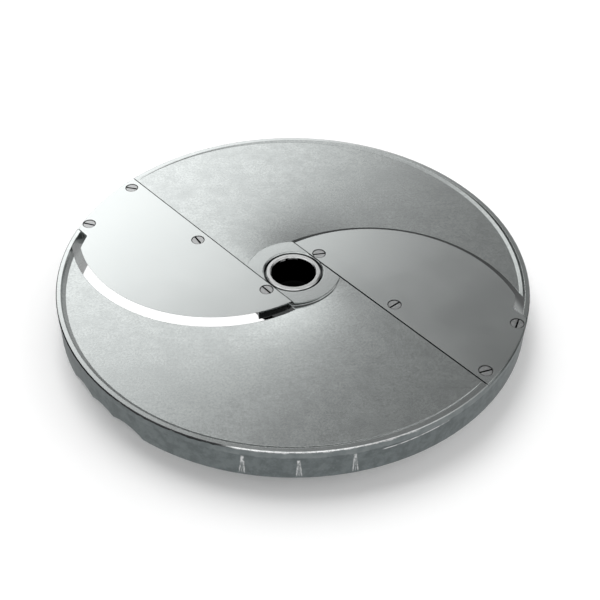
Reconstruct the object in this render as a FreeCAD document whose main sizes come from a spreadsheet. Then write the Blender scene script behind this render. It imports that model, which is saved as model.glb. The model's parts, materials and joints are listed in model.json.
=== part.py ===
import FreeCAD, Part
import math
import os
import Sketcher

# Slicing disc for a food processor: one aluminium casting, a steel drive bushing pressed into its
# hub, and two curved steel blades, each held by four slotted countersunk screws.
# The origin is on the bore's axis at the plane that the disc rests on, and +Z is up.
# The straight back edge of each blade is parallel to X. The disc looks the same after half a turn.

HALF_TURNS = (0, 180)
UP = FreeCAD.Vector(0, 0, 1)

# How far a form that cuts or joins runs past the face that it meets, in mm.
PAST = 1

DIMENSIONS = {
    "disc_diameter": 205,
    "disc_height": 15,
    "rim_top_width": 2.1,
    "rim_edge_chamfer": 0.4,
    "turned_band_height": 3.5,
    "turned_band_step": 0.25,
    "skirt_wall": 2.3,
    "slice_thickness": 2,
    "deck_thickness": 3,
    "deck_rim_slope": 0.6,
    "rim_foot_chamfer": 0.9,
    "land_diameter": 40.4,
    "land_slope": 0.2,
    "land_foot_chamfer": 0.4,
    "ramp_inner_radius": 24,
    "boss_diameter": 33,
    "boss_lift": 1,
    "bore_diameter": 19.4,
    "bushing_wall": 2.4,
    "bushing_edge_chamfer": 0.5,
    "bushing_recess": 0.1,
    "groove_width": 0.8,
    "groove_depth": 2,
    "groove_chamfer": 0.5,
    "drive_slot_width": 5,
    "drive_slot_depth": 4,
    "drive_slot_turn": 48,
    "blade_thickness": 1.5,
    "blade_gap": 0.35,
    "back_edge_offset": 13.4,
    "edge_rim_overrun": 8.05,
    "edge_hub_reach": 14.85,
    "edge_centre_offset": 4.36,
    "blade_rim_inset": 0.5,
    "tab_end_offset": 54.4,
    "tab_corner_inset": 6.4,
    "bevel_width": 3,
    "bevel_land": 0.1,
    "slice_gap": 3.6,
    "tip_clearance": 1.6,
    "seat_setback": 0.8,
    "seat_band": 11,
    "rim_seat_width": 9,
    "tip_seat_across": 9.5,
    "hub_seat_across": 3.9,
    "seat_corner_round": 3,
    "screw_head_diameter": 5.6,
    "screw_head_recess": 0.2,
    "screw_thread_diameter": 3,
    "screw_length": 8,
    "screw_slot_width": 0.8,
    "screw_slot_depth": 0.7,
    "screw_clearance": 0.2,
    "back_screw_inset": 4.9,
    "rim_screw_inset": 6.8,
    "middle_screw_across": 44.3,
    "hub_screw_across": -1.5,
    "screw_edge_land": 0.15,
    "tab_screw_setback": 5.6,
    "screw_pad_diameter": 8,
    "screw_pad_height": 4.5,
    "screw_hole_depth": 8.6,
    "rib_thickness": 2.6,
    "rib_lift": 4,
    "deck_rib_turn": 152,
    "grip_radius": 14.4,
    "grip_depth": 3.6,
    "grip_pitch": 7.8,
    "grip_turn": 0.6,
    "grip_count": 3,
}

# Sizes that follow from those above. The cutting edge's arc keeps its reach past the hub and the rim.
DERIVED = {
    "rim_radius": "=disc_diameter / 2",
    "bushing_diameter": "=bore_diameter + 2 * bushing_wall",
    "edge_arc_radius": "=(rim_radius + edge_rim_overrun + edge_hub_reach) / 2",
    "edge_arc_across": "=(rim_radius + edge_rim_overrun - edge_hub_reach) / 2",
    "tab_corner_radius": "=rim_radius - tab_corner_inset",
    "rim_seat_radius": "=rim_radius - rim_seat_width",
    "rim_screw_across": "=rim_radius - rim_screw_inset",
    "screw_head_height": "=(screw_head_diameter - screw_thread_diameter) / 2",
    "countersink_depth": "=screw_head_height + screw_head_recess - screw_clearance",
    "countersink_radius": "=screw_thread_diameter / 2 + screw_clearance + countersink_depth",
    "hub_screw_inset": "=countersink_radius + screw_edge_land",
    "tab_screw_radius": "=rim_radius - blade_rim_inset - screw_edge_land - countersink_radius",
}

# Places that several pieces share, as expressions of the sheet's cells.
TOP = "dims.disc_height"
RIM = "dims.rim_radius"
SKIRT_INSIDE = "(dims.rim_radius - dims.skirt_wall)"
DECK_UNDERSIDE = "(dims.disc_height - dims.slice_thickness - dims.deck_thickness)"
SEAT = "(dims.disc_height - dims.blade_thickness)"
BACK_EDGE = "dims.back_edge_offset"
BACK_SCREW_LINE = "(dims.back_edge_offset + dims.back_screw_inset)"
TAB_SCREW_LINE = "(dims.tab_end_offset - dims.tab_screw_setback)"
LIP_RADIUS = "(dims.edge_arc_radius + dims.slice_gap)"

# The angle from X at which each screw's slot was left when it was tightened, for either blade.
SLOT_TURNS = (
    {"rim": 67, "middle": 88, "hub": 59, "tab": 117},
    {"rim": 35, "middle": 170, "hub": 178, "tab": 31},
)

doc = FreeCAD.newDocument("slicing_disc")
sheet = doc.addObject("Spreadsheet::Sheet", "dims")


def fill_sheet():
    for row, (alias, content) in enumerate([*DIMENSIONS.items(), *DERIVED.items()], start=1):
        sheet.set("A%d" % row, alias)
        sheet.set("B%d" % row, str(content))
        sheet.setAlias("B%d" % row, alias)
    doc.recompute()


def evaluate(expression):
    """The number that an expression of the sheet's cells gives now."""
    return float(sheet.evalExpression(str(expression)))


def bind(thing, **expressions):
    """Ties properties to expressions; a double underscore stands for a dot."""
    for name, expression in expressions.items():
        thing.setExpression(name.replace("__", "."), str(expression))


def turned(angle):
    """A placement that turns about the bore's axis, in degrees."""
    return FreeCAD.Placement(FreeCAD.Vector(), FreeCAD.Rotation(UP, angle))


def body_named(name):
    body = doc.addObject("PartDesign::Body", name)
    body.Label = name
    return body


def origin_item(body, role):
    """One of the planes or axes of a body's own origin."""
    return [item for item in body.Origin.OriginFeatures if item.Role == role][0]


def sketch_on(body, name, role):
    """An empty sketch on one of the body's own origin planes."""
    sketch = body.newObject("Sketcher::SketchObject", name)
    sketch.AttachmentSupport = (origin_item(body, role), [""])
    sketch.MapMode = "FlatFace"
    return sketch


def add_circle(sketch, across, along, radius):
    """A circle whose centre and radius are expressions."""
    centre = FreeCAD.Vector(evaluate(across), evaluate(along), 0)
    index = sketch.addGeometry(Part.Circle(centre, UP, evaluate(radius)), False)
    for kind, expression in (("DistanceX", across), ("DistanceY", along)):
        number = evaluate(expression)
        constraint = sketch.addConstraint(Sketcher.Constraint(kind, -1, 1, index, 3, number))
        sketch.setExpression("Constraints[%d]" % constraint, str(expression))
    constraint = sketch.addConstraint(Sketcher.Constraint("Radius", index, evaluate(radius)))
    sketch.setExpression("Constraints[%d]" % constraint, str(radius))


def add_outline(sketch, corners):
    """A closed outline. Each corner is (across, along) or (across, along, centre), where centre, a
    pair of expressions, makes the edge that leaves the corner an arc, drawn the shorter way round."""
    points = [FreeCAD.Vector(evaluate(corner[0]), evaluate(corner[1]), 0) for corner in corners]
    count = len(corners)
    ends = []
    for index, corner in enumerate(corners):
        start, finish = points[index], points[(index + 1) % count]
        if len(corner) == 2:
            edge = sketch.addGeometry(Part.LineSegment(start, finish), False)
            ends.append((edge, 1, 2))
            continue
        centre = FreeCAD.Vector(evaluate(corner[2][0]), evaluate(corner[2][1]), 0)
        first, second = start - centre, finish - centre
        forward = first.cross(second).z > 0
        angles = [math.atan2(arm.y, arm.x) for arm in ((first, second) if forward else (second, first))]
        circle = Part.Circle(centre, UP, first.Length)
        edge = sketch.addGeometry(Part.ArcOfCircle(circle, *angles), False)
        ends.append((edge, 1, 2) if forward else (edge, 2, 1))
    for index in range(count):
        edge, start, finish = ends[index]
        following, following_start, _ = ends[(index + 1) % count]
        sketch.addConstraint(Sketcher.Constraint("Coincident", edge, finish, following, following_start))
    for (edge, start, _), corner, point in zip(ends, corners, points):
        for kind, expression, number in zip(("DistanceX", "DistanceY"), corner, point):
            constraint = sketch.addConstraint(Sketcher.Constraint(kind, -1, 1, edge, start, number))
            sketch.setExpression("Constraints[%d]" % constraint, str(expression))
        if len(corner) == 3:
            arm = "sqrt((%s - (%s))^2 + (%s - (%s))^2)" % (corner[0], corner[2][0], corner[1], corner[2][1])
            constraint = sketch.addConstraint(Sketcher.Constraint("Radius", edge, evaluate(arm)))
            sketch.setExpression("Constraints[%d]" % constraint, arm)


def lift_sketch(sketch, height):
    """Moves a sketch on the XY plane up to a height."""
    bind(sketch, AttachmentOffset__Base__z=height)


def pad(body, sketch, name, length):
    feature = body.newObject("PartDesign::Pad", name)
    feature.Profile = sketch
    feature.Length = evaluate(length)
    bind(feature, Length=length)
    doc.recompute()
    return feature


def pocket(body, sketch, name, depth):
    """A pocket downward from the sketch, checked to take material away."""
    before = body.Shape.Volume
    feature = body.newObject("PartDesign::Pocket", name)
    feature.Profile = sketch
    feature.Length = evaluate(depth)
    bind(feature, Length=depth)
    doc.recompute()
    if body.Shape.Volume >= before:
        raise RuntimeError("%s cuts nothing" % name)
    return feature


def revolve(body, sketch, name):
    feature = body.newObject("PartDesign::Revolution", name)
    feature.Profile = sketch
    feature.ReferenceAxis = (sketch, ["V_Axis"])
    feature.Angle = 360
    doc.recompute()
    return feature


def edges_where(shape, test):
    """The names of the edges of a shape that pass a test."""
    return ["Edge%d" % number for number, edge in enumerate(shape.Edges, start=1) if test(edge)]


def is_circle_at(edge, radius, height):
    curve = edge.Curve
    round_edge = isinstance(curve, Part.Circle) and abs(curve.Radius - radius) < 1e-4
    return round_edge and abs(curve.Center.z - height) < 1e-4


def circle_x(radius, along, side="+", across=0, centre_along=0):
    """Where a circle crosses a line parallel to X, as an expression."""
    return "(%s %s sqrt((%s)^2 - ((%s) - (%s))^2))" % (across, side, radius, along, centre_along)


def edge_circle_x(radius, along):
    """The hub side of a circle about the cutting edge's centre, at a line parallel to X."""
    return circle_x(radius, along, "-", "dims.edge_arc_across", "dims.edge_centre_offset")


EDGE_CENTRE = ("dims.edge_arc_across", "dims.edge_centre_offset")
AXIS = ("0", "0")


def circles_meet(radius, edge_radius):
    """Where a circle about the bore's axis meets one about the cutting edge's centre, on the side of
    the blade's tab, as a pair of expressions."""
    across, along = EDGE_CENTRE
    offset = "(%s^2 + %s^2)" % EDGE_CENTRE
    reach = "((%s^2 + %s - %s^2) / (2 * sqrt(%s)))" % (radius, offset, edge_radius, offset)
    aside = "sqrt(%s^2 - %s^2)" % (radius, reach)
    x = "((%s * %s - %s * %s) / sqrt(%s))" % (reach, across, aside, along, offset)
    y = "((%s * %s + %s * %s) / sqrt(%s))" % (reach, along, aside, across, offset)
    return x, y


# The casting before machining: skirt, deck and hub in one turned profile.
def make_blank():
    body = body_named("disc_blank")
    sketch = sketch_on(body, "blank_profile", "XZ_Plane")
    skirt_outside = "(%s - dims.turned_band_step)" % RIM
    groove_radius = "(dims.bushing_diameter / 2 + dims.groove_width)"
    add_outline(sketch, [
        ("dims.bushing_diameter / 2", "dims.boss_lift"),
        ("dims.boss_diameter / 2", "dims.boss_lift"),
        ("dims.boss_diameter / 2", DECK_UNDERSIDE),
        (SKIRT_INSIDE, DECK_UNDERSIDE),
        (SKIRT_INSIDE, "0"),
        (skirt_outside, "0"),
        (skirt_outside, TOP + " - dims.turned_band_height"),
        (RIM, TOP + " - dims.turned_band_height"),
        (RIM, TOP + " - dims.rim_edge_chamfer"),
        (RIM + " - dims.rim_edge_chamfer", TOP),
        (groove_radius + " + dims.groove_chamfer", TOP),
        (groove_radius, TOP + " - dims.groove_chamfer"),
        (groove_radius, TOP + " - dims.groove_depth"),
        ("dims.bushing_diameter / 2", TOP + " - dims.groove_depth"),
    ])
    revolve(body, sketch, "turned_form")
    return body


# Places of the four screws of one blade, as (across, along) expressions.
def screw_places():
    return {
        "rim": ("dims.rim_screw_across", BACK_SCREW_LINE),
        "middle": ("dims.middle_screw_across", BACK_SCREW_LINE),
        "hub": ("dims.hub_screw_across", "(dims.back_edge_offset + dims.hub_screw_inset)"),
        "tab": (circle_x("dims.tab_screw_radius", TAB_SCREW_LINE), TAB_SCREW_LINE),
    }


def cylinder(name, radius, height, across="0", along="0", base="0"):
    item = doc.addObject("Part::Cylinder", name)
    bind(item, Radius=radius, Height=height)
    bind(item, Placement__Base__x=across, Placement__Base__y=along, Placement__Base__z=base)
    return item


def box(name, length, width, height, across="0", along="0", base="0"):
    item = doc.addObject("Part::Box", name)
    bind(item, Length=length, Width=width, Height=height)
    bind(item, Placement__Base__x=across, Placement__Base__y=along, Placement__Base__z=base)
    return item


def combine(kind, name, base, tool):
    item = doc.addObject(kind, name)
    item.Base = base
    item.Tool = tool
    doc.recompute()
    return item


def fuse(name, shapes):
    item = doc.addObject("Part::MultiFuse", name)
    item.Shapes = shapes
    doc.recompute()
    return item


# Under one blade: a rib along the back screws, pads round the screws and a wall along the lip. Under
# the deck beside it: one radial rib.
def make_underside(turn):
    tag = "_%d" % turn
    rib_height = "(%s - dims.rib_lift + %s)" % (DECK_UNDERSIDE, PAST)
    pieces = [
        box("back_rib" + tag, SKIRT_INSIDE, "dims.rib_thickness", rib_height,
            "0", BACK_SCREW_LINE + " - dims.rib_thickness / 2", "dims.rib_lift"),
    ]
    pad_base = "(%s - dims.screw_pad_height)" % DECK_UNDERSIDE
    for place, (across, along) in screw_places().items():
        pieces.append(cylinder(place + "_pad" + tag, "dims.screw_pad_diameter / 2",
                               "dims.screw_pad_height + %s" % PAST, across, along, pad_base))
    lip_outside = cylinder("lip_outside" + tag, LIP_RADIUS + " + dims.rib_thickness", rib_height,
                           *EDGE_CENTRE, "dims.rib_lift")
    lip_inside = cylinder("lip_inside" + tag, LIP_RADIUS, rib_height, *EDGE_CENTRE, "dims.rib_lift")
    lip_ring = combine("Part::Cut", "lip_ring" + tag, lip_outside, lip_inside)
    lip_side = box("lip_side" + tag, "dims.disc_diameter", RIM, "dims.disc_height",
                   "-dims.disc_diameter / 2", BACK_EDGE)
    pieces.append(combine("Part::Common", "lip_wall" + tag, lip_ring, lip_side))
    deck_rib = box("deck_rib" + tag, SKIRT_INSIDE, "dims.rib_thickness", rib_height,
                   "dims.rib_thickness / 2 * sin(dims.deck_rib_turn)",
                   "-dims.rib_thickness / 2 * cos(dims.deck_rib_turn)", "dims.rib_lift")
    bind(deck_rib, Placement__Rotation__Angle="dims.deck_rib_turn")
    pieces.append(deck_rib)
    doc.recompute()
    whole = fuse("underside_forms" + tag, pieces)
    skirt_space = cylinder("skirt_space" + tag, SKIRT_INSIDE + " + dims.skirt_wall / 2", "dims.disc_height")
    hub_space = cylinder("hub_space" + tag, "(dims.bushing_diameter + dims.boss_diameter) / 4",
                         "dims.disc_height")
    ring_space = combine("Part::Cut", "ring_space" + tag, skirt_space, hub_space)
    inner = combine("Part::Common", "underside" + tag, whole, ring_space)
    inner.Placement = turned(turn)
    return inner


# One deck falls evenly, at every radius, from the back edge of the blade behind it to the lip in front
# of the next blade. The tool is what is cut away above it. Its grid spans these degrees, from over the
# blade in front to over the one behind.
RAMP_SPAN = (34, 230)
RAMP_ROWS = 8
RAMP_COLUMNS = 9


def ramp_height(radius, angle):
    """The deck's height at a radius and an angle about the bore's axis, in radians."""
    offset = math.hypot(evaluate("dims.edge_arc_across"), evaluate("dims.edge_centre_offset"))
    heading = math.atan2(evaluate("dims.edge_centre_offset"), evaluate("dims.edge_arc_across"))
    lip = evaluate(LIP_RADIUS)
    lip_at = max(radius, evaluate("dims.ramp_inner_radius"))
    swing = math.acos((lip_at ** 2 + offset ** 2 - lip ** 2) / (2 * lip_at * offset))
    start = math.pi + math.asin(evaluate(BACK_EDGE) / radius)
    fraction = (start - angle) / (start - heading - swing)
    return evaluate(TOP) - evaluate("dims.slice_thickness") * fraction


def spread(first, last, count):
    """Evenly spaced numbers from the first to the last."""
    return [first + (last - first) * index / (count - 1) for index in range(count)]


def ramp_surface():
    """The deck's upper face as a grid of points, wider than the deck on every side."""
    inner = evaluate("dims.land_diameter / 2") - PAST
    outer = evaluate(RIM) + 3 * PAST
    grid = []
    for radius in spread(inner, outer, RAMP_ROWS):
        line = []
        for degrees in spread(*RAMP_SPAN, RAMP_COLUMNS):
            angle = math.radians(degrees)
            height = ramp_height(radius, angle)
            line.append(FreeCAD.Vector(radius * math.cos(angle), radius * math.sin(angle), height))
        grid.append(line)
    surface = Part.BSplineSurface()
    surface.interpolate(grid)
    return surface


def ramp_shape():
    """What stands above one deck, between the hub's land and the rim, whose walls slope."""
    top = evaluate(TOP)
    deep = 4 * evaluate("dims.slice_thickness")
    land = evaluate("dims.land_diameter / 2")
    land_lean = deep * evaluate("dims.land_slope")
    rim_inside = evaluate(RIM + " - dims.rim_top_width")
    rim_lean = deep * evaluate("dims.deck_rim_slope")
    above = ramp_surface().toShape().extrude(UP * deep)
    profile = Part.makePolygon([FreeCAD.Vector(*corner) for corner in (
        (land - land_lean, 0, top + deep),
        (land + land_lean, 0, top - deep),
        (rim_inside - rim_lean, 0, top - deep),
        (rim_inside + rim_lean, 0, top + deep),
        (land - land_lean, 0, top + deep),
    )])
    ring = Part.Face(profile).revolve(FreeCAD.Vector(), UP, 360)
    tool = above.common(Part.Solid(ring) if ring.ShapeType == "Shell" else ring)
    seat_front = evaluate("dims.edge_arc_radius + dims.tip_clearance") - PAST / 2
    below = FreeCAD.Vector(*(evaluate(item) for item in EDGE_CENTRE), top - deep)
    tool = tool.cut(Part.makeCylinder(seat_front, 3 * deep, below))
    tool = max(tool.Solids, key=lambda solid: solid.Volume)
    floor = min(tool.Faces, key=lambda face: face.CenterOfMass.z)
    for size, near in (("dims.rim_foot_chamfer", rim_inside), ("dims.land_foot_chamfer", land)):
        feet = [edge for edge in floor.Edges if is_round_foot(edge, near, rim_lean)]
        tool = tool.makeChamfer(evaluate(size), feet).Solids[0]
        floor = min(tool.Faces, key=lambda face: face.CenterOfMass.z)
    return tool


def is_round_foot(edge, radius, slack):
    """Whether every point of an edge is about as far from the bore's axis as a radius."""
    points = edge.discretize(9)
    return all(abs(math.hypot(point.x, point.y) - radius) < slack for point in points)


def make_ramp(turn):
    item = doc.addObject("Part::Feature", "ramp_tool_%d" % turn)
    item.Shape = ramp_shape()
    item.Placement = turned(turn)
    return item


# The recess for a blade: its own outline with a gap, open at the rim and over the slice passage.
def make_recess(turn):
    body = body_named("blade_recess_%d" % turn)
    sketch = sketch_on(body, "recess_outline_%d" % turn, "XY_Plane")
    back = "(dims.back_edge_offset - dims.blade_gap)"
    end = "(dims.tab_end_offset + dims.blade_gap)"
    outside = "(dims.rim_radius + %s)" % PAST
    front = "(dims.edge_arc_radius + dims.tip_clearance)"
    over_passage = "(dims.edge_arc_radius / 3)"
    turn_in = "(dims.edge_arc_across + %s)" % over_passage
    turn_up = "(dims.edge_centre_offset + sqrt(%s^2 - %s^2))" % (front, over_passage)
    add_outline(sketch, [
        (edge_circle_x(front, back), back),
        (circle_x(outside, back), back, AXIS),
        (circle_x(outside, end), end),
        (turn_in, end),
        (turn_in, turn_up, EDGE_CENTRE),
    ])
    lift_sketch(sketch, SEAT)
    pad(body, sketch, "recess_space_%d" % turn, "dims.blade_thickness + %s" % PAST)
    body.Placement = turned(turn)
    return body


# The passage under a blade that drops the slices: through the casting, between the lip and the seats.
def make_passage(turn):
    body = body_named("slice_passage_%d" % turn)
    sketch = sketch_on(body, "passage_outline_%d" % turn, "XY_Plane")
    seat_front = "(dims.back_edge_offset + dims.seat_band)"
    tab_front = "(dims.tab_end_offset - dims.blade_gap)"
    tip_seat = "(dims.edge_arc_radius - dims.seat_setback)"
    slot_end = "(dims.back_edge_offset + dims.slice_gap / 4)"
    tip_x = "(-dims.tip_seat_across)"
    tip_y = "(dims.edge_centre_offset + sqrt(%s^2 - (dims.edge_arc_across - %s)^2))" % (tip_seat, tip_x)
    seat = "dims.rim_seat_radius"
    add_outline(sketch, [
        (edge_circle_x(LIP_RADIUS, slot_end), slot_end, EDGE_CENTRE),
        (*circles_meet(SKIRT_INSIDE, LIP_RADIUS), AXIS),
        (circle_x(SKIRT_INSIDE, tab_front), tab_front),
        (circle_x(seat, tab_front), tab_front, AXIS),
        (circle_x(seat, seat_front), seat_front),
        ("-dims.hub_seat_across", seat_front),
        (tip_x, tip_y, EDGE_CENTRE),
        (edge_circle_x(tip_seat, slot_end), slot_end),
    ])
    lift_sketch(sketch, -PAST)
    column = pad(body, sketch, "passage_space_%d" % turn, "dims.disc_height + %s" % (2 * PAST))
    round_off = body.newObject("PartDesign::Fillet", "passage_corners_%d" % turn)
    corners = [
        (evaluate(circle_x(seat, tab_front)), evaluate(tab_front)),
        (evaluate(circle_x(seat, seat_front)), evaluate(seat_front)),
        (evaluate("-dims.hub_seat_across"), evaluate(seat_front)),
    ]

    def is_corner(edge):
        middle = edge.CenterOfMass
        return any(math.hypot(middle.x - x, middle.y - y) < 1e-3 for x, y in corners)

    round_off.Base = (column, edges_where(column.Shape, is_corner))
    bind(round_off, Radius="dims.seat_corner_round")
    doc.recompute()
    body.Placement = turned(turn)
    return body


# Three finger grips side by side in the skirt's lower edge, cut with a radial round cutter.
def make_grips(turn):
    body = body_named("finger_grips_%d" % turn)
    sketch = sketch_on(body, "grip_circle_%d" % turn, "XZ_Plane")
    add_circle(sketch, "0", "dims.grip_depth - dims.grip_radius", "dims.grip_radius")
    bind(sketch, AttachmentOffset__Base__z="%s - %s" % (SKIRT_INSIDE, 2 * PAST))
    first = pad(body, sketch, "grip_cutter_%d" % turn, "dims.skirt_wall + %s" % (4 * PAST))
    pattern = body.newObject("PartDesign::PolarPattern", "grip_pattern_%d" % turn)
    pattern.Originals = [first]
    pattern.Axis = (origin_item(body, "Z_Axis"), [""])
    bind(pattern, Occurrences="dims.grip_count", Angle="dims.grip_pitch * (dims.grip_count - 1)")
    body.Tip = pattern
    doc.recompute()
    half_spread = evaluate("dims.grip_pitch * (dims.grip_count - 1) / 2")
    body.Placement = turned(turn + evaluate("dims.grip_turn") - half_spread)
    doc.recompute()
    return body


def make_screw_holes(turn):
    holes = []
    for place, (across, along) in screw_places().items():
        holes.append(cylinder("%s_thread_%d" % (place, turn), "dims.screw_thread_diameter / 2",
                              "dims.screw_hole_depth", across, along, TOP + " - dims.screw_hole_depth"))
    item = fuse("screw_threads_%d" % turn, holes)
    item.Placement = turned(turn)
    return item


def make_disc():
    casting = fuse("casting", [make_blank()] + [make_underside(turn) for turn in HALF_TURNS])
    cutters = []
    for make in (make_passage, make_recess, make_ramp, make_screw_holes, make_grips):
        cutters += [make(turn) for turn in HALF_TURNS]
    shape = casting
    for cutter in cutters[:-1]:
        shape = combine("Part::Cut", "casting_less_" + cutter.Name, shape, cutter)
    return combine("Part::Cut", "disc_body", shape, cutters[-1])


# The steel bushing: a bore for the shaft and, across its foot, a slot for the shaft's drive pin.
def make_bushing():
    body = body_named("hub_bushing")
    outer = sketch_on(body, "bushing_outline", "XY_Plane")
    add_circle(outer, "0", "0", "dims.bushing_diameter / 2")
    lift_sketch(outer, "dims.boss_lift")
    top = "(dims.disc_height - dims.bushing_recess)"
    pad(body, outer, "bushing_bar", top + " - dims.boss_lift")
    bore = sketch_on(body, "bore_outline", "XY_Plane")
    add_circle(bore, "0", "0", "dims.bore_diameter / 2")
    lift_sketch(bore, top)
    bored = pocket(body, bore, "shaft_bore", "dims.disc_height")
    edges = body.newObject("PartDesign::Chamfer", "bushing_edges")
    height = evaluate(top)
    radii = [evaluate("dims.bushing_diameter / 2"), evaluate("dims.bore_diameter / 2")]
    edges.Base = (bored, edges_where(
        bored.Shape, lambda edge: any(is_circle_at(edge, radius, height) for radius in radii)))
    bind(edges, Size="dims.bushing_edge_chamfer")
    doc.recompute()
    slot = sketch_on(body, "drive_slot_outline", "XY_Plane")
    reach = "dims.bushing_diameter"
    side = "dims.drive_slot_width / 2"
    add_outline(slot, [(reach, "-" + side), (reach, side), ("-" + reach, side), ("-" + reach, "-" + side)])
    lift_sketch(slot, "dims.boss_lift + dims.drive_slot_depth")
    pocket(body, slot, "drive_slot", "dims.drive_slot_depth")
    body.Placement = turned(evaluate("dims.drive_slot_turn"))
    return body


# A blade: flat plate with a straight back edge, a curved cutting edge ground from below, and a tab at
# the rim that the fourth screw holds.
def make_blade(name, turn):
    body = body_named(name)
    sketch = sketch_on(body, name + "_outline", "XY_Plane")
    edge = "dims.edge_arc_radius"
    rim = "(dims.rim_radius - dims.blade_rim_inset)"
    end = "dims.tab_end_offset"
    corner = "dims.tab_corner_radius"
    corner_x, corner_y = circles_meet(corner, edge)
    add_outline(sketch, [
        (edge_circle_x(edge, BACK_EDGE), BACK_EDGE),
        (circle_x(rim, BACK_EDGE), BACK_EDGE, AXIS),
        (circle_x(rim, end), end),
        (circle_x(corner, end), end, AXIS),
        (corner_x, corner_y, EDGE_CENTRE),
    ])
    lift_sketch(sketch, SEAT)
    pad(body, sketch, name + "_plate", "dims.blade_thickness")

    grind = sketch_on(body, name + "_bevel_profile", "XZ_Plane")
    outside = "%s + %s" % (edge, PAST)
    below = "%s - %s" % (SEAT, PAST)
    add_outline(grind, [
        ("%s - dims.bevel_width" % edge, SEAT),
        (edge, TOP + " - dims.bevel_land"),
        (outside, TOP + " - dims.bevel_land"),
        (outside, below),
        ("%s - dims.bevel_width" % edge, below),
    ])
    centre_x, centre_y = (evaluate(item) for item in EDGE_CENTRE)
    outer_end = math.degrees(math.atan2(evaluate(corner_y) - centre_y, evaluate(corner_x) - centre_x))
    inner_end = math.degrees(math.atan2(
        evaluate(BACK_EDGE) - centre_y, evaluate(edge_circle_x(edge, BACK_EDGE)) - centre_x))
    middle = (outer_end + inner_end) / 2
    grind.AttachmentOffset = FreeCAD.Placement(
        FreeCAD.Vector(centre_x, 0, -centre_y), FreeCAD.Rotation(FreeCAD.Vector(0, 1, 0), middle))
    bevel = body.newObject("PartDesign::Groove", name + "_bevel")
    bevel.Profile = grind
    bevel.ReferenceAxis = (grind, ["V_Axis"])
    past_both_ends = math.degrees(4 * PAST / evaluate(edge))
    bevel.Angle = inner_end - outer_end + past_both_ends
    bevel.Midplane = True
    doc.recompute()

    holes = sketch_on(body, name + "_holes", "XY_Plane")
    hole_radius = "(dims.screw_thread_diameter / 2 + dims.screw_clearance)"
    for across, along in screw_places().values():
        add_circle(holes, across, along, hole_radius)
    lift_sketch(holes, TOP)
    drilled = pocket(body, holes, name + "_screw_holes", "dims.blade_thickness + %s" % PAST)
    sinks = body.newObject("PartDesign::Chamfer", name + "_countersinks")
    radius = evaluate(hole_radius)
    top = evaluate(TOP)
    sinks.Base = (drilled, edges_where(drilled.Shape, lambda rim: is_circle_at(rim, radius, top)))
    bind(sinks, Size="dims.countersink_depth")
    doc.recompute()
    body.Placement = turned(turn)
    return body


# A countersunk screw with a slotted head, modelled on its own axis with the head's top at zero.
def make_screw(name, place, turn, slot_turn):
    body = body_named(name)
    profile = sketch_on(body, name + "_profile", "XZ_Plane")
    add_outline(profile, [
        ("0", "0"),
        ("0", "-dims.screw_length"),
        ("dims.screw_thread_diameter / 2", "-dims.screw_length"),
        ("dims.screw_thread_diameter / 2", "-dims.screw_head_height"),
        ("dims.screw_head_diameter / 2", "0"),
    ])
    revolve(body, profile, name + "_form")
    slot_plan = sketch_on(body, name + "_slot_plan", "XY_Plane")
    half = "dims.screw_head_diameter"
    side = "dims.screw_slot_width / 2"
    add_outline(slot_plan, [(half, "-" + side), (half, side), ("-" + half, side), ("-" + half, "-" + side)])
    pocket(body, slot_plan, name + "_slot", "dims.screw_slot_depth")
    across, along = (evaluate(item) for item in screw_places()[place])
    seat = FreeCAD.Placement(
        FreeCAD.Vector(across, along, evaluate(TOP + " - dims.screw_head_recess")),
        FreeCAD.Rotation(UP, slot_turn - turn))
    body.Placement = turned(turn).multiply(seat)
    return body


def check_and_export(pieces):
    doc.recompute()
    for item in doc.Objects:
        if "Invalid" in item.State or "Error" in item.State:
            raise RuntimeError("%s failed: %s" % (item.Name, item.State))
    os.makedirs("parts", exist_ok=True)
    for piece in pieces:
        shape = piece.Shape
        if shape.isNull() or not shape.isValid() or len(shape.Solids) != 1:
            raise RuntimeError("%s is not one sound solid" % piece.Label)
    for piece in pieces:
        piece.Shape.exportStep("parts/%s.step" % piece.Label)
        print("%-16s %9.1f mm3  %4d faces" % (piece.Label, piece.Shape.Volume, len(piece.Shape.Faces)))


def main():
    fill_sheet()
    pieces = [make_disc(), make_bushing()]
    number = 0
    for index, (turn, slot_turns) in enumerate(zip(HALF_TURNS, SLOT_TURNS), start=1):
        pieces.append(make_blade("blade_%d" % index, turn))
        for place, slot_turn in slot_turns.items():
            number += 1
            pieces.append(make_screw("blade_screw_%d" % number, place, turn, slot_turn))
    check_and_export(pieces)


main()
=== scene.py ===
import bpy
import json
import math
from mathutils import Matrix, Vector

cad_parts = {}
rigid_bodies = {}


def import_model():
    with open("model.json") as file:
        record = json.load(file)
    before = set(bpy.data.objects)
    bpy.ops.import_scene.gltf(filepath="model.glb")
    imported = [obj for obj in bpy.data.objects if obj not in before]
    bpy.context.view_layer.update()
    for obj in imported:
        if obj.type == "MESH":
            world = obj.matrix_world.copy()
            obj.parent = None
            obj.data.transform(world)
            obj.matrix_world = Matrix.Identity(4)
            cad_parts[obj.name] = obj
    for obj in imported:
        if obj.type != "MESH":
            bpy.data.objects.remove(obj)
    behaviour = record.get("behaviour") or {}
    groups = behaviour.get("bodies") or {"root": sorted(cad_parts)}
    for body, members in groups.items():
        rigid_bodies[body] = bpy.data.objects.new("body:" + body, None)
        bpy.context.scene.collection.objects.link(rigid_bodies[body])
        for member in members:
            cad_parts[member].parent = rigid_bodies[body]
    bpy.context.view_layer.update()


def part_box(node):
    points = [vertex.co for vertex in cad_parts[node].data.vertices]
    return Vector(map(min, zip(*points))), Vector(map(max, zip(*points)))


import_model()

# Where finishes change on the disc, in metres. These are radii from the bore's axis.
RIM = 0.1025
RIM_CHAMFER = 0.10175
SKIRT = 0.1011
RIM_INSIDE = 0.1003
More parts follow.
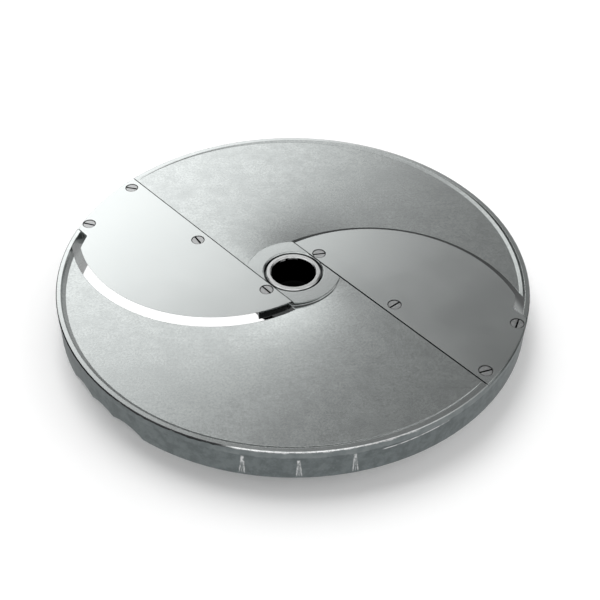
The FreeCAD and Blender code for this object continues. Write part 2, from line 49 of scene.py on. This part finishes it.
TAB_WALL = 0.084
HUB_WALL = 0.032
BOSS_FOOT = (0.0206, 0.0212)
LAND = 0.02015
GROOVE = 0.0132
BUSHING = 0.0119
BORE = 0.00995

# These are heights above the floor.
TOP = 0.015
WALL_TOP = 0.0145
# Painted highlight on the rim's edge starts at this height.
RIM_HIGHLIGHT_HEIGHT = 0.0144
GROOVE_MOUTH = 0.01435
# Painted dark reflection and painted highlight on the rim's edge start at this height.
RIM_EDGE_HEIGHT = 0.0142
TURNED_BAND = 0.0115
WALL_DIMMING = (0.004, 0.0105)
SLOT_FLOOR = TOP - 0.00031

# Blade 1's cutting edge is an arc round this centre, and its grinding starts at this radius from it.
EDGE_CENTRE = (0.04785, 0.00436)
GRINDING = 0.0597

# How far from the X axis the blades' back edges and the two sides of the gaps behind them lie, the ends
# of the gaps' radii, and the place along X, towards the rim, of their hub end.
BACK_EDGE = 0.01355
GAP_FRONT = 0.013475
GAP_BACK_1 = 0.01272
GAP_BACK_2 = 0.01300
GAP_RADII = (0.0132, 0.1014)
GAP_HUB_END = -0.00435

# Marks of use and stretches of painted shade and painted reflection, by the angle from X in degrees. A
# drip has its angle, its lean and the height of its top, and a place left out of the bore's painted shade
# has its two ends and the height that it reaches down to.
DRIPS = ((-52.0, 0.030, 0.0106), (-40.0, -0.015, 0.0100), (-28.0, -0.045, 0.0108))
SCRATCH = (-21.6, -4.9)
SCRATCH_HEIGHTS = (0.0100, 0.0107)
TURNED_FADE = (-64.0, -50.0)
# The rim's outer edge is painted black here as a dark reflection, and painted white on the next stretch
# as a highlight.
RIM_DARK_REFLECTION = (-112.0, -55.0)
RIM_HIGHLIGHT = (-54.0, -14.0)
# Painted shade along the foot of the hub's boss covers this stretch.
FOOT_SHADE = (-46.0, 16.0)
# Two places left out of the bore's painted shade, where the bare steel reflects.
BARE_BORE = ((128.0, 153.0, 0.0137), (160.0, 176.0, 0.0134))
SANDING = math.radians(48)

# Colours of the finishes, and of painted shade, shadow, reflection and highlight.
DECK_DARK = (0.58, 0.61, 0.605)
DECK_LIGHT = (0.70, 0.735, 0.725)
DECK_MOTTLE = (0.60, 0.635, 0.627)
SKIN_DARK = (0.175, 0.200, 0.203)
SKIN_LIGHT = (0.250, 0.282, 0.286)
TURNED_LIGHT = (0.350, 0.382, 0.386)
TURNED_BRIGHT = (0.65, 0.68, 0.675)
BLADE_DARK = (0.69, 0.722, 0.715)
BLADE_LIGHT = (0.755, 0.787, 0.780)
BLADE_SPECK = (0.45, 0.46, 0.46)
GROUND_BRIGHT = (0.82, 0.83, 0.83)
BUSHING_DARK = (0.70, 0.71, 0.71)
BUSHING_LIGHT = (0.80, 0.81, 0.805)
SCREW_DARK = (0.50, 0.51, 0.51)
SCREW_LIGHT = (0.66, 0.67, 0.67)
# Chalk white is the drips' and the scratch's, and also the rim's painted highlight. The blacks below are
# painted shade, and on the rim a painted dark reflection.
CHALK_AND_HIGHLIGHT = (0.97, 0.98, 0.98)
WALL_SHADE = (0.032, 0.034, 0.034)
PAINTED_DARK = (0.008, 0.008, 0.009)
BORE_SHADE = (0.001, 0.001, 0.001)
FLOOR_DARK = (0.84, 0.84, 0.84)
FLOOR_LIGHT = (0.86, 0.86, 0.86)
# A painted shadow under the hub.
HUB_SHADOW_BLACK = (0.01, 0.01, 0.01)
WHITE = (1.0, 1.0, 1.0)
BLACK = (0.0, 0.0, 0.0)

# The photograph's viewpoint: how far round, how high, how far off, and the small roll of the frame.
AZIMUTH = math.radians(48.1)
ELEVATION = math.radians(42.45)
DISTANCE = 0.48263
ROLL = math.radians(0.674)
AIM = (0.003084, -0.018631)
LENS_PER_FRAME = 1135.64 / 600
SENSOR = 36.0
TURN_STAGE = Matrix.Rotation(AZIMUTH, 4, "Z")

# What the metal mirrors, as soft patches of light on a dome, in the viewer's directions: degrees right of
# straight ahead, degrees above the horizon, angular radius of each patch, and its brightness.
STUDIO = (
    (-60.0, 45.0, 32.0, 0.15),
    (-38.0, 45.0, 26.0, 0.52),
    (-35.0, 38.0, 20.0, 0.39),
    (-20.0, 25.0, 20.0, 0.26),
    (-10.0, 30.0, 18.0, 1.25),
    (-8.0, 45.0, 20.0, 0.13),
    (12.0, 25.0, 20.0, 0.10),
    (18.0, 45.0, 24.0, 0.13),
    (30.0, 15.0, 30.0, 0.37),
    (0.0, -90.0, 105.0, 0.73),
    # Round the other sides, so that the disc looks alike from there.
    (0.0, 90.0, 30.0, 0.80),
    (-95.0, 42.0, 34.0, 0.75),
    (-138.0, 38.0, 34.0, 0.60),
    (183.0, 35.0, 34.0, 0.75),
    (138.0, 40.0, 34.0, 0.60),
    (92.0, 38.0, 34.0, 0.60),
)
AMBIENT = 0.005
# Wide soft lamps that light the floor: degrees right, degrees up, angular width and strength.
LAMPS = (
    (-18.0, 44.0, 34.0, 1.90),
    (55.0, 42.0, 56.0, 0.62),
    (-60.0, 15.0, 56.0, 1.53),
    (0.0, 18.0, 42.0, 1.53),
    (60.0, 15.0, 56.0, 1.00),
    (0.0, 90.0, 60.0, 0.47),
)
# The floor: its side, its glow in the open and its stronger glow under the disc, a painted light, and the
# radii of the painted shadow under the hub and of the bright field. The finger grips open on it beyond a
# radius and within a half width.
FLOOR_SIDE = 12.0
FLOOR_GLOW = 0.18
PASSAGE_GLOW = 1.0
HUB_SHADOW_RADIUS = 0.0196
FLOOR_BRIGHT = 0.0965
FLOOR_GRIPS = (0.087, 0.035)
BACKDROP_RADIUS = 9.0

# Where the eight screws stand, blade 1's four first, and how wide their heads are.
SCREW_BOXES = [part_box("blade_screw_%d" % number) for number in range(1, 9)]
SCREW_PLACES = [tuple((low[axis] + high[axis]) / 2 for axis in (0, 1)) for low, high in SCREW_BOXES]
HEAD_RADIUS = (SCREW_BOXES[0][1][0] - SCREW_BOXES[0][0][0]) / 2


class Graph:
    """A shader's node tree and a small vocabulary for building it."""

    def __init__(self, tree):
        self.tree = tree

    def add(self, kind, **settings):
        node = self.tree.nodes.new(kind)
        for name, value in settings.items():
            setattr(node, name, value)
        return node

    def feed(self, socket, value):
        """Link a socket to another, or set it to a number, a colour or a direction."""
        if isinstance(value, bpy.types.NodeSocket):
            self.tree.links.new(value, socket)
        elif socket.type == "RGBA":
            socket.default_value = (*value, 1.0)
        else:
            socket.default_value = value

    def math(self, operation, *values):
        node = self.add("ShaderNodeMath", operation=operation)
        for socket, value in zip(node.inputs, values):
            self.feed(socket, value)
        return node.outputs[0]

    def plus(self, first, second):
        return self.math("ADD", first, second)

    def minus(self, first, second):
        return self.math("SUBTRACT", first, second)

    def times(self, product, *values):
        for value in values:
            product = self.math("MULTIPLY", product, value)
        return product

    def larger(self, first, second):
        return self.math("MAXIMUM", first, second)

    def size(self, value):
        return self.math("ABSOLUTE", value)

    def rest(self, value):
        """What is left of one."""
        return self.minus(1.0, value)

    def ramp(self, value, low, high, to_low=0.0, to_high=1.0):
        """A smooth step from to_low to to_high while a value goes from low to high."""
        node = self.add("ShaderNodeMapRange", interpolation_type="SMOOTHSTEP")
        for socket, item in zip(node.inputs, (value, low, high, to_low, to_high)):
            self.feed(socket, item)
        return node.outputs[0]

    def above(self, value, limit, soft):
        """0 under a limit and 1 over it, with a soft step."""
        return self.ramp(value, limit - soft, limit + soft)

    def below(self, value, limit, soft):
        """1 under a limit and 0 over it, with a soft step."""
        return self.ramp(value, limit - soft, limit + soft, 1.0, 0.0)

    def band(self, value, low, high, soft):
        """1 between low and high, 0 outside, with soft ends."""
        return self.times(self.above(value, low, soft), self.below(value, high, soft))

    def stretch(self, angle, first, last, soft):
        """1 on the way round from one angle in degrees to another, 0 elsewhere, with soft ends."""
        return self.band(angle, math.radians(first), math.radians(last), soft)


class Finish(Graph):
    """A material with one principled shader, and the disc's own coordinates to place its parts by."""

    def __init__(self, name):
        self.material = bpy.data.materials.new(name)
        self.material.use_nodes = True
        super().__init__(self.material.node_tree)
        self.tree.nodes.clear()
        self.output = self.add("ShaderNodeOutputMaterial")
        self.shader = self.add("ShaderNodeBsdfPrincipled")
        self.feed(self.output.inputs["Surface"], self.shader.outputs[0])
        self.place = self.add("ShaderNodeTexCoord").outputs["Object"]
        self.x, self.y, self.z = self.split(self.place)

    def split(self, vector):
        node = self.add("ShaderNodeSeparateXYZ")
        self.feed(node.inputs[0], vector)
        return node.outputs

    def combine(self, x, y, z):
        node = self.add("ShaderNodeCombineXYZ")
        for socket, value in zip(node.inputs, (x, y, z)):
            self.feed(socket, value)
        return node.outputs[0]

    def noise(self, scale, detail, roughness, place=None):
        node = self.add("ShaderNodeTexNoise")
        self.feed(node.inputs["Vector"], place or self.place)
        for name, value in (("Scale", scale), ("Detail", detail), ("Roughness", roughness)):
            node.inputs[name].default_value = value
        return node.outputs["Fac"]

    def lines(self, first, second, detail, roughness):
        """Fine lines, from a noise that varies by its own two places only."""
        return self.noise(1.0, detail, roughness, self.combine(first, second, 0.0))

    def mix(self, amount, first, second):
        node = self.add("ShaderNodeMix", data_type="RGBA")
        colours = [socket for socket in node.inputs if socket.type == "RGBA"]
        self.feed(node.inputs["Factor"], amount)
        for socket, value in zip(colours, (first, second)):
            self.feed(socket, value)
        return [socket for socket in node.outputs if socket.type == "RGBA"][0]

    def tint(self, colour, other, field, low, high, most=1.0):
        """Let another colour come in while a field goes from low to high."""
        return self.mix(self.ramp(field, low, high, 0.0, most), colour, other)

    def radius(self, centre=(0.0, 0.0)):
        """How far a point is, seen from above, from a place."""
        dx = self.minus(self.x, centre[0])
        dy = self.minus(self.y, centre[1])
        return self.math("SQRT", self.plus(self.times(dx, dx), self.times(dy, dy)))

    def from_nearest(self, places):
        """How far a point is, seen from above, from the nearest of some places."""
        distance = self.radius(places[0])
        for place in places[1:]:
            distance = self.math("MINIMUM", distance, self.radius(place))
        return distance

    def angle(self):
        """The way round the bore's axis from X."""
        return self.math("ARCTAN2", self.y, self.x)

    def upward(self):
        """How far a face looks up, from -1 to 1."""
        return self.split(self.add("ShaderNodeNewGeometry").outputs["True Normal"])[2]

    def upright(self, up, limit):
        """1 on faces that stand up, 0 on those that lie."""
        return self.below(self.size(up), limit, 0.1)

    def metal(self, colour, roughness, metallic=1.0):
        for name, value in (("Base Color", colour), ("Roughness", roughness), ("Metallic", metallic)):
            self.feed(self.shader.inputs[name], value)

    def relief(self, height, strength, depth, edge_radius):
        """A fine relief on faces whose edges look rounded."""
        rounded = self.add("ShaderNodeBevel", samples=6)
        bump = self.add("ShaderNodeBump")
        for socket, value in (
            (rounded.inputs["Radius"], edge_radius),
            (bump.inputs["Strength"], strength),
            (bump.inputs["Distance"], depth),
            (bump.inputs["Height"], height),
            (bump.inputs["Normal"], rounded.outputs[0]),
            (self.shader.inputs["Normal"], bump.outputs[0]),
        ):
            self.feed(socket, value)


def drip_marks(graph, angle):
    """Whitish dried drips on the skirt: a spot under the turned band and fine streaks below it."""
    marks = 0.0
    for degrees, lean, top in DRIPS:
        fall = graph.minus(top, graph.z)
        across = graph.times(graph.minus(angle, math.radians(degrees)), RIM)
        across = graph.plus(across, graph.times(fall, lean))
        wobble = graph.noise(700, detail=2.0, roughness=0.5)
        across = graph.plus(across, graph.times(graph.minus(wobble, 0.5), 0.0006))
        aside = graph.size(across)
        spot = graph.times(graph.below(aside, 0.00055, 0.00025),
                           graph.band(graph.z, top - 0.0034, top, 0.0005))
        spread = graph.times(graph.plus(fall, 0.0030), 0.08)
        legs = graph.below(graph.size(graph.minus(aside, spread)), 0.00026, 0.00016)
        legs = graph.larger(legs, graph.ramp(aside, 0.00005, 0.00025, 0.8, 0.0))
        legs = graph.times(legs, graph.band(graph.z, 0.0012, top - 0.0012, 0.0008))
        marks = graph.larger(marks, graph.larger(spot, graph.times(legs, 0.75)))
    broken = graph.noise(520, detail=3.0, roughness=0.6)
    return graph.times(marks, graph.ramp(broken, 0.34, 0.56, 0.25, 1.0))


def long_scratch(graph, angle):
    """One thin scratch round the skirt, a little below the turned band, fading at its far end."""
    first, last = (math.radians(degrees) for degrees in SCRATCH)
    height = graph.ramp(angle, first, last, *SCRATCH_HEIGHTS)
    line = graph.below(graph.size(graph.minus(graph.z, height)), 0.00027, 0.00013)
    broken = graph.noise(420, detail=3.0, roughness=0.6)
    return graph.times(line, graph.band(angle, first, last, 0.01),
                       graph.ramp(broken, 0.36, 0.56, 0.25, 1.0))


def blasted_deck(graph, grain, mottle):
    """Cast and lightly blasted: even, with a fine grain and faint sanding streaks one way."""
    cloud = graph.noise(70, detail=4.0, roughness=0.55)
    along = graph.plus(graph.times(graph.x, math.cos(SANDING)), graph.times(graph.y, math.sin(SANDING)))
    across = graph.minus(graph.times(graph.y, math.cos(SANDING)), graph.times(graph.x, math.sin(SANDING)))
    streaks = graph.lines(graph.times(along, 60), graph.times(across, 700), detail=3.0, roughness=0.6)
    deck = graph.tint(DECK_DARK, DECK_LIGHT, grain, 0.35, 0.65)
    deck = graph.tint(deck, DECK_MOTTLE, mottle, 0.35, 0.65, 0.25)
    deck = graph.tint(deck, DECK_LIGHT, streaks, 0.4, 0.7, 0.35)
    return graph.tint(deck, DECK_DARK, cloud, 0.4, 0.7, 0.55)


def skirt_side(graph, skin, mottle, angle, ragged_height):
    """The skirt keeps its grey casting skin below a lighter turned band, and has marks of use."""
    turned = graph.tint(SKIN_LIGHT, TURNED_LIGHT, mottle, 0.3, 0.7)
    first, last = (math.radians(degrees) for degrees in TURNED_FADE)
    banded = graph.times(graph.above(ragged_height, TURNED_BAND, 0.0003),
                         graph.ramp(angle, first, last, 0.3, 1.0))
    marks = graph.larger(drip_marks(graph, angle), long_scratch(graph, angle))
    return graph.mix(graph.times(marks, 0.95), graph.mix(banded, skin, turned), CHALK_AND_HIGHLIGHT)


def rim_edge_reflections(graph, colour, radius, angle, up, ragged_height):
    """The rim's outer edge has a painted dark reflection on one stretch and a broken painted highlight on
    the next.
    """
    brink = graph.times(graph.above(radius, RIM_CHAMFER, 0.00015), graph.below(up, 0.825, 0.075),
                        graph.above(ragged_height, RIM_EDGE_HEIGHT, 0.0001))
    dark_reflection = graph.stretch(angle, *RIM_DARK_REFLECTION, 0.04)
    broken = graph.noise(900, detail=2.0, roughness=0.5)
    highlight = graph.times(graph.stretch(angle, *RIM_HIGHLIGHT, 0.03),
                          graph.ramp(broken, 0.38, 0.5, 0.3, 1.0),
                          graph.above(ragged_height, RIM_HIGHLIGHT_HEIGHT, 0.0001))
    colour = graph.mix(graph.times(brink, dark_reflection, 0.92), colour, PAINTED_DARK)
    return graph.mix(graph.times(brink, highlight, 0.95), colour, CHALK_AND_HIGHLIGHT)


def shaded_walls(graph, colour, radius, inner_wall):
    """The walls of the slice passages and of the narrow groove round the bushing are darkened with
    painted shade.
    """
    # Beyond the hub the painted shade is lighter towards the floor, and so it is on the wall beside blade
    # 2's tab.
    depth = graph.larger(graph.ramp(graph.z, *WALL_DIMMING, 0.35, 1.0),
                         graph.below(radius, HUB_WALL, 0.002))
    by_tab = graph.times(graph.above(radius, TAB_WALL, 0.004), graph.below(graph.y, 0.0, 0.001))
    wall = graph.times(inner_wall, graph.below(graph.z, WALL_TOP, 0.0002), depth,
                       graph.rest(graph.times(by_tab, 0.45)))
    groove = graph.times(graph.below(radius, GROOVE, 0.0001), graph.below(graph.z, GROOVE_MOUTH, 0.00035))
    return graph.mix(graph.times(graph.larger(wall, groove), 0.90), colour, WALL_SHADE)


def shaded_gaps(graph, colour, radius):
    """Painted shade fills the narrow gap behind each blade's back edge, less of it behind blade 2."""
    side = graph.math("SIGN", graph.y)
    aside = graph.size(graph.y)
    back = graph.ramp(side, -0.5, 0.5, GAP_BACK_2, GAP_BACK_1)
    gap = graph.times(
        graph.above(graph.minus(aside, back), 0.0, 0.00003),
        graph.below(aside, GAP_FRONT, 0.000025),
        graph.above(graph.times(graph.x, side), GAP_HUB_END, 0.00015),
        graph.band(radius, *GAP_RADII, 0.0002),
        graph.ramp(side, -0.5, 0.5, 0.75, 1.0),
    )
    return graph.mix(gap, colour, PAINTED_DARK)


def foot_shade(graph, colour, radius, angle, up):
    """Painted shade lies as a dark line along part of the foot of the hub's boss."""
    foot = graph.times(graph.band(radius, *BOSS_FOOT, 0.00015), graph.above(up, 0.1, 0.1),
                       graph.stretch(angle, *FOOT_SHADE, 0.16))
    return graph.mix(graph.times(foot, 0.8), colour, PAINTED_DARK)


def cast_aluminium():
    graph = Finish("cast_aluminium_satin")
    radius, angle, up = graph.radius(), graph.angle(), graph.upward()
    grain = graph.noise(1100, detail=4.0, roughness=0.65)
    mottle = graph.noise(230, detail=5.0, roughness=0.6)
    ragged_height = graph.plus(graph.z, graph.times(graph.minus(mottle, 0.5), 0.0022))

    skin = graph.tint(SKIN_DARK, SKIN_LIGHT, mottle, 0.36, 0.64)
    skin = graph.tint(skin, TURNED_LIGHT, grain, 0.5, 0.75, 0.35)
    outside = graph.above(radius, SKIRT, 0.0002)
    upright = graph.upright(up, 0.45)
    skirt = graph.times(outside, upright)
    colour = graph.mix(skirt, blasted_deck(graph, grain, mottle),
                       skirt_side(graph, skin, mottle, angle, ragged_height))

    # The rim's flat top and the hub's land are turned bright.
    rim_top = graph.times(graph.above(radius, RIM_INSIDE, 0.0001), graph.above(up, 0.6, 0.2))
    land = graph.times(graph.below(radius, LAND, 0.00015), graph.above(up, 0.8, 0.1))
    machined = graph.larger(rim_top, land)
    colour = graph.mix(graph.times(machined, 0.8), colour, TURNED_BRIGHT)

    colour = rim_edge_reflections(graph, colour, radius, angle, up, ragged_height)
    colour = shaded_walls(graph, colour, radius, graph.times(graph.rest(outside), upright))
    colour = shaded_gaps(graph, colour, radius)
    colour = foot_shade(graph, colour, radius, angle, up)

    # Underneath, the casting skin is dull and darker.
    colour = graph.mix(graph.times(graph.below(up, -0.35, 0.15), 0.7), colour, skin)

    roughness = graph.plus(graph.ramp(mottle, 0.3, 0.7, 0.20, 0.25), graph.times(skirt, 0.22))
    graph.metal(colour, graph.minus(roughness, graph.times(machined, 0.04)))
    rings = graph.lines(graph.times(radius, 5000), 0.0, detail=2.0, roughness=0.5)
    height = graph.plus(grain, graph.times(mottle, 0.3))
    height = graph.plus(height, graph.times(rings, graph.times(machined, 0.6)))
    graph.relief(height, strength=0.07, depth=0.00015, edge_radius=0.0003)
    return graph.material


def blade_steel(number):
    """Polished along X, ground bright under its cutting edge, with painted shade round the screws' heads.
    """
    graph = Finish("blade_steel_%d" % number)
    half_turn = 1.0 if number == 1 else -1.0
    arc = graph.radius(tuple(place * half_turn for place in EDGE_CENTRE))
    up = graph.upward()
    polish = graph.lines(graph.times(graph.x, 60), graph.times(graph.y, 2600), detail=3.0, roughness=0.6)
    cloud = graph.noise(22, detail=3.0, roughness=0.55)
    speck = graph.above(graph.noise(1500, detail=2.0, roughness=0.5), 0.75, 0.03)
    colour = graph.tint(BLADE_DARK, BLADE_LIGHT, cloud, 0.3, 0.7)
    colour = graph.mix(graph.times(speck, 0.3), colour, BLADE_SPECK)
    ground = graph.times(graph.above(arc, GRINDING, 0.0002), graph.below(up, -0.1, 0.1))
    colour = graph.mix(ground, colour, GROUND_BRIGHT)
    # The countersinks are painted dark, as painted shade.
    countersink = graph.band(up, 0.60, 0.82, 0.04)
    colour = graph.mix(graph.times(countersink, 0.94), colour, PAINTED_DARK)

    # Painted shade lies round the screws' heads and down the back edge.
    off_screw = graph.from_nearest(SCREW_PLACES[4 * number - 4:4 * number])
    ring = graph.band(off_screw, HEAD_RADIUS - 0.0002, HEAD_RADIUS + 0.00022, 0.00008)
    back = graph.times(graph.upright(up, 0.4), graph.below(graph.size(graph.y), BACK_EDGE, 0.00005))
    colour = graph.mix(graph.larger(graph.times(ring, 0.85), back), colour, PAINTED_DARK)

    roughness = graph.plus(graph.ramp(cloud, 0.3, 0.7, 0.18, 0.22), graph.times(polish, 0.05))
    graph.metal(colour, roughness)
    graph.relief(polish, strength=0.04, depth=0.00004, edge_radius=0.00015)
    return graph.material


def bushing_steel():
    """Turned outside and on top; painted shade darkens the outside wall and blackens the bore but for two
    places left bare, where the steel reflects.
    """
    graph = Finish("bushing_steel_turned")
    radius, angle = graph.radius(), graph.angle()
    rings = graph.lines(graph.times(radius, 9000), graph.times(graph.z, 5000), detail=3.0, roughness=0.6)
    wall = graph.upright(graph.upward(), 0.3)
    inside = graph.times(wall, graph.below(radius, BORE, 0.00015))
    outside = graph.times(wall, graph.above(radius, BUSHING, 0.0001))
    # Two places are left out of the bore's painted shade, so that the bare steel shows its reflections
    # there.
    bare = 0.0
    for first, last, low in BARE_BORE:
        patch = graph.times(graph.stretch(angle, first, last, 0.04), graph.above(graph.z, low, 0.0002))
        bare = graph.larger(bare, patch)
    broken = graph.noise(900, detail=2.0, roughness=0.5)
    bare = graph.times(bare, graph.ramp(broken, 0.35, 0.6, 0.35, 0.85))
    black = graph.times(inside, graph.rest(bare))
    colour = graph.mix(rings, BUSHING_DARK, BUSHING_LIGHT)
    # Painted shade darkens the outside wall, in the groove, and blackens the bore.
    colour = graph.mix(graph.times(outside, 0.8), colour, WALL_SHADE)
    colour = graph.mix(black, colour, BORE_SHADE)
    graph.metal(colour, graph.ramp(rings, 0.3, 0.7, 0.18, 0.28), graph.rest(black))
    graph.shader.inputs["Specular IOR Level"].default_value = 0.0
    graph.relief(rings, strength=0.2, depth=0.00005, edge_radius=0.0003)
    return graph.material


def screw_steel():
    """Worn steel, with painted shade: black in the slot and dark along the head's brim."""
    graph = Finish("screw_steel_satin")
    wear = graph.noise(1400, detail=3.0, roughness=0.6)
    colour = graph.tint(SCREW_DARK, SCREW_LIGHT, wear, 0.35, 0.65)
    # The slot and the head's brim are painted dark as shade.
    slot = graph.below(graph.z, SLOT_FLOOR, 0.00005)
    brim = graph.above(graph.from_nearest(SCREW_PLACES), HEAD_RADIUS - 0.000225, 0.000075)
    colour = graph.mix(graph.larger(slot, graph.times(brim, 0.7)), colour, PAINTED_DARK)
    graph.metal(colour, graph.ramp(wear, 0.3, 0.7, 0.28, 0.42))
    graph.relief(wear, strength=0.2, depth=0.00005, edge_radius=0.0002)
    return graph.material


def dress(node, material):
    for item in bpy.data.objects:
        if item.type == "MESH" and (item.name == node or item.name.startswith(node + ".")):
            item.data.materials.clear()
            item.data.materials.append(material)


def seen_towards(right, height):
    """A direction of the viewer's: degrees right of straight ahead and degrees above the horizon."""
    right, height = math.radians(right), math.radians(height)
    flat = math.cos(height)
    return TURN_STAGE @ Vector((math.sin(right) * flat, math.cos(right) * flat, math.sin(height)))


def add_camera():
    data = bpy.data.cameras.new("camera")
    data.sensor_width = SENSOR
    data.lens = SENSOR * LENS_PER_FRAME
    data.clip_start = 0.01
    data.clip_end = 50.0
    camera = bpy.data.objects.new("camera", data)
    bpy.context.collection.objects.link(camera)
    back = Vector((0.0, -math.cos(ELEVATION), math.sin(ELEVATION)))
    level = Vector((1.0, 0.0, 0.0))
    steep = Vector((0.0, math.sin(ELEVATION), math.cos(ELEVATION)))
    right = level * math.cos(ROLL) + steep * math.sin(ROLL)
    up = steep * math.cos(ROLL) - level * math.sin(ROLL)
    pose = Matrix((right, up, back)).transposed().to_4x4()
    pose.translation = Vector((*AIM, TOP)) + back * DISTANCE
    camera.matrix_world = TURN_STAGE @ pose
    bpy.context.scene.camera = camera


def add_floor():
    bpy.ops.mesh.primitive_plane_add(size=FLOOR_SIDE, location=(0.0, 0.0, 0.0))
    floor = bpy.context.object
    floor.name = "floor"
    graph = Finish("pale_floor")
    radius = graph.radius()
    pale = graph.mix(graph.noise(3.0, detail=2.0, roughness=0.5), FLOOR_DARK, FLOOR_LIGHT)

    # Under the hub the floor is painted black as shadow and does not glow, so the bore looks dark;
    # beneath the disc it glows brighter, a painted light, so the slice passages show a bright floor.
    # Behind the finger grips the floor is as it is outside.
    hub = graph.below(radius, HUB_SHADOW_RADIUS, 0.0004)
    by_grips = graph.times(graph.above(radius, FLOOR_GRIPS[0], 0.001),
                           graph.below(graph.size(graph.x), FLOOR_GRIPS[1], 0.001))
    beneath = graph.times(graph.below(radius, FLOOR_BRIGHT, 0.0005), graph.rest(by_grips))
    glow = graph.ramp(graph.minus(beneath, hub), 0.0, 1.0, FLOOR_GLOW, PASSAGE_GLOW)
    for name, value in (
        ("Base Color", graph.mix(hub, pale, HUB_SHADOW_BLACK)),
        ("Roughness", 0.9),
        ("Specular IOR Level", 0.0),
        ("Emission Color", WHITE),
        ("Emission Strength", graph.times(glow, graph.rest(hub))),
    ):
        graph.feed(graph.shader.inputs[name], value)

    # Seen from below, the floor is clear, so that the disc's underside shows.
    either = graph.add("ShaderNodeMixShader")
    graph.feed(either.inputs[0], graph.add("ShaderNodeNewGeometry").outputs["Backfacing"])
    graph.feed(either.inputs[1], graph.shader.outputs[0])
    graph.feed(either.inputs[2], graph.add("ShaderNodeBsdfTransparent").outputs[0])
    graph.feed(graph.output.inputs["Surface"], either.outputs[0])
    floor.data.materials.append(graph.material)
    floor.visible_glossy = False


def add_backdrop():
    """A white surround far off, seen only past the floor's edge."""
    bpy.ops.mesh.primitive_uv_sphere_add(
        segments=48, ring_count=24, radius=BACKDROP_RADIUS, location=(0.0, 0.0, 0.0))
    backdrop = bpy.context.object
    backdrop.name = "backdrop"
    graph = Finish("white_backdrop")
    for name, value in (("Base Color", BLACK), ("Emission Color", WHITE), ("Emission Strength", 1.0)):
        graph.feed(graph.shader.inputs[name], value)
    backdrop.data.materials.append(graph.material)
    backdrop.visible_diffuse = False
    backdrop.visible_glossy = False
    backdrop.visible_transmission = False
    backdrop.visible_volume_scatter = False
    backdrop.visible_shadow = False


def add_lamps():
    for number, (right, height, width, strength) in enumerate(LAMPS):
        data = bpy.data.lights.new("lamp_%d" % number, "SUN")
        data.energy = strength
        data.angle = math.radians(width)
        lamp = bpy.data.objects.new("lamp_%d" % number, data)
        lamp.rotation_euler = seen_towards(right, height).to_track_quat("Z", "Y").to_euler()
        lamp.visible_glossy = False
        bpy.context.collection.objects.link(lamp)


def add_world():
    world = bpy.data.worlds.new("studio")
    world.use_nodes = True
    graph = Graph(world.node_tree)
    direction = graph.add("ShaderNodeTexCoord").outputs["Generated"]
    light = AMBIENT
    for right, height, spread, brightness in STUDIO:
        facing = graph.add("ShaderNodeVectorMath", operation="DOT_PRODUCT")
        graph.feed(facing.inputs[0], direction)
        graph.feed(facing.inputs[1], seen_towards(right, height))
        reach = math.cos(math.radians(spread))
        light = graph.plus(light, graph.ramp(facing.outputs["Value"], reach, 1.0, 0.0, brightness))
    background = world.node_tree.nodes["Background"]
    graph.feed(background.inputs["Strength"], light)
    graph.feed(background.inputs["Color"], WHITE)
    world.cycles_visibility.diffuse = False
    bpy.context.scene.world = world


dress("disc_body", cast_aluminium())
dress("hub_bushing", bushing_steel())
for number in (1, 2):
    dress("blade_%d" % number, blade_steel(number))
screw_finish = screw_steel()
for number in range(1, 9):
    dress("blade_screw_%d" % number, screw_finish)

add_camera()
add_floor()
add_backdrop()
add_lamps()
add_world()
bpy.context.scene.view_settings.view_transform = "Standard"
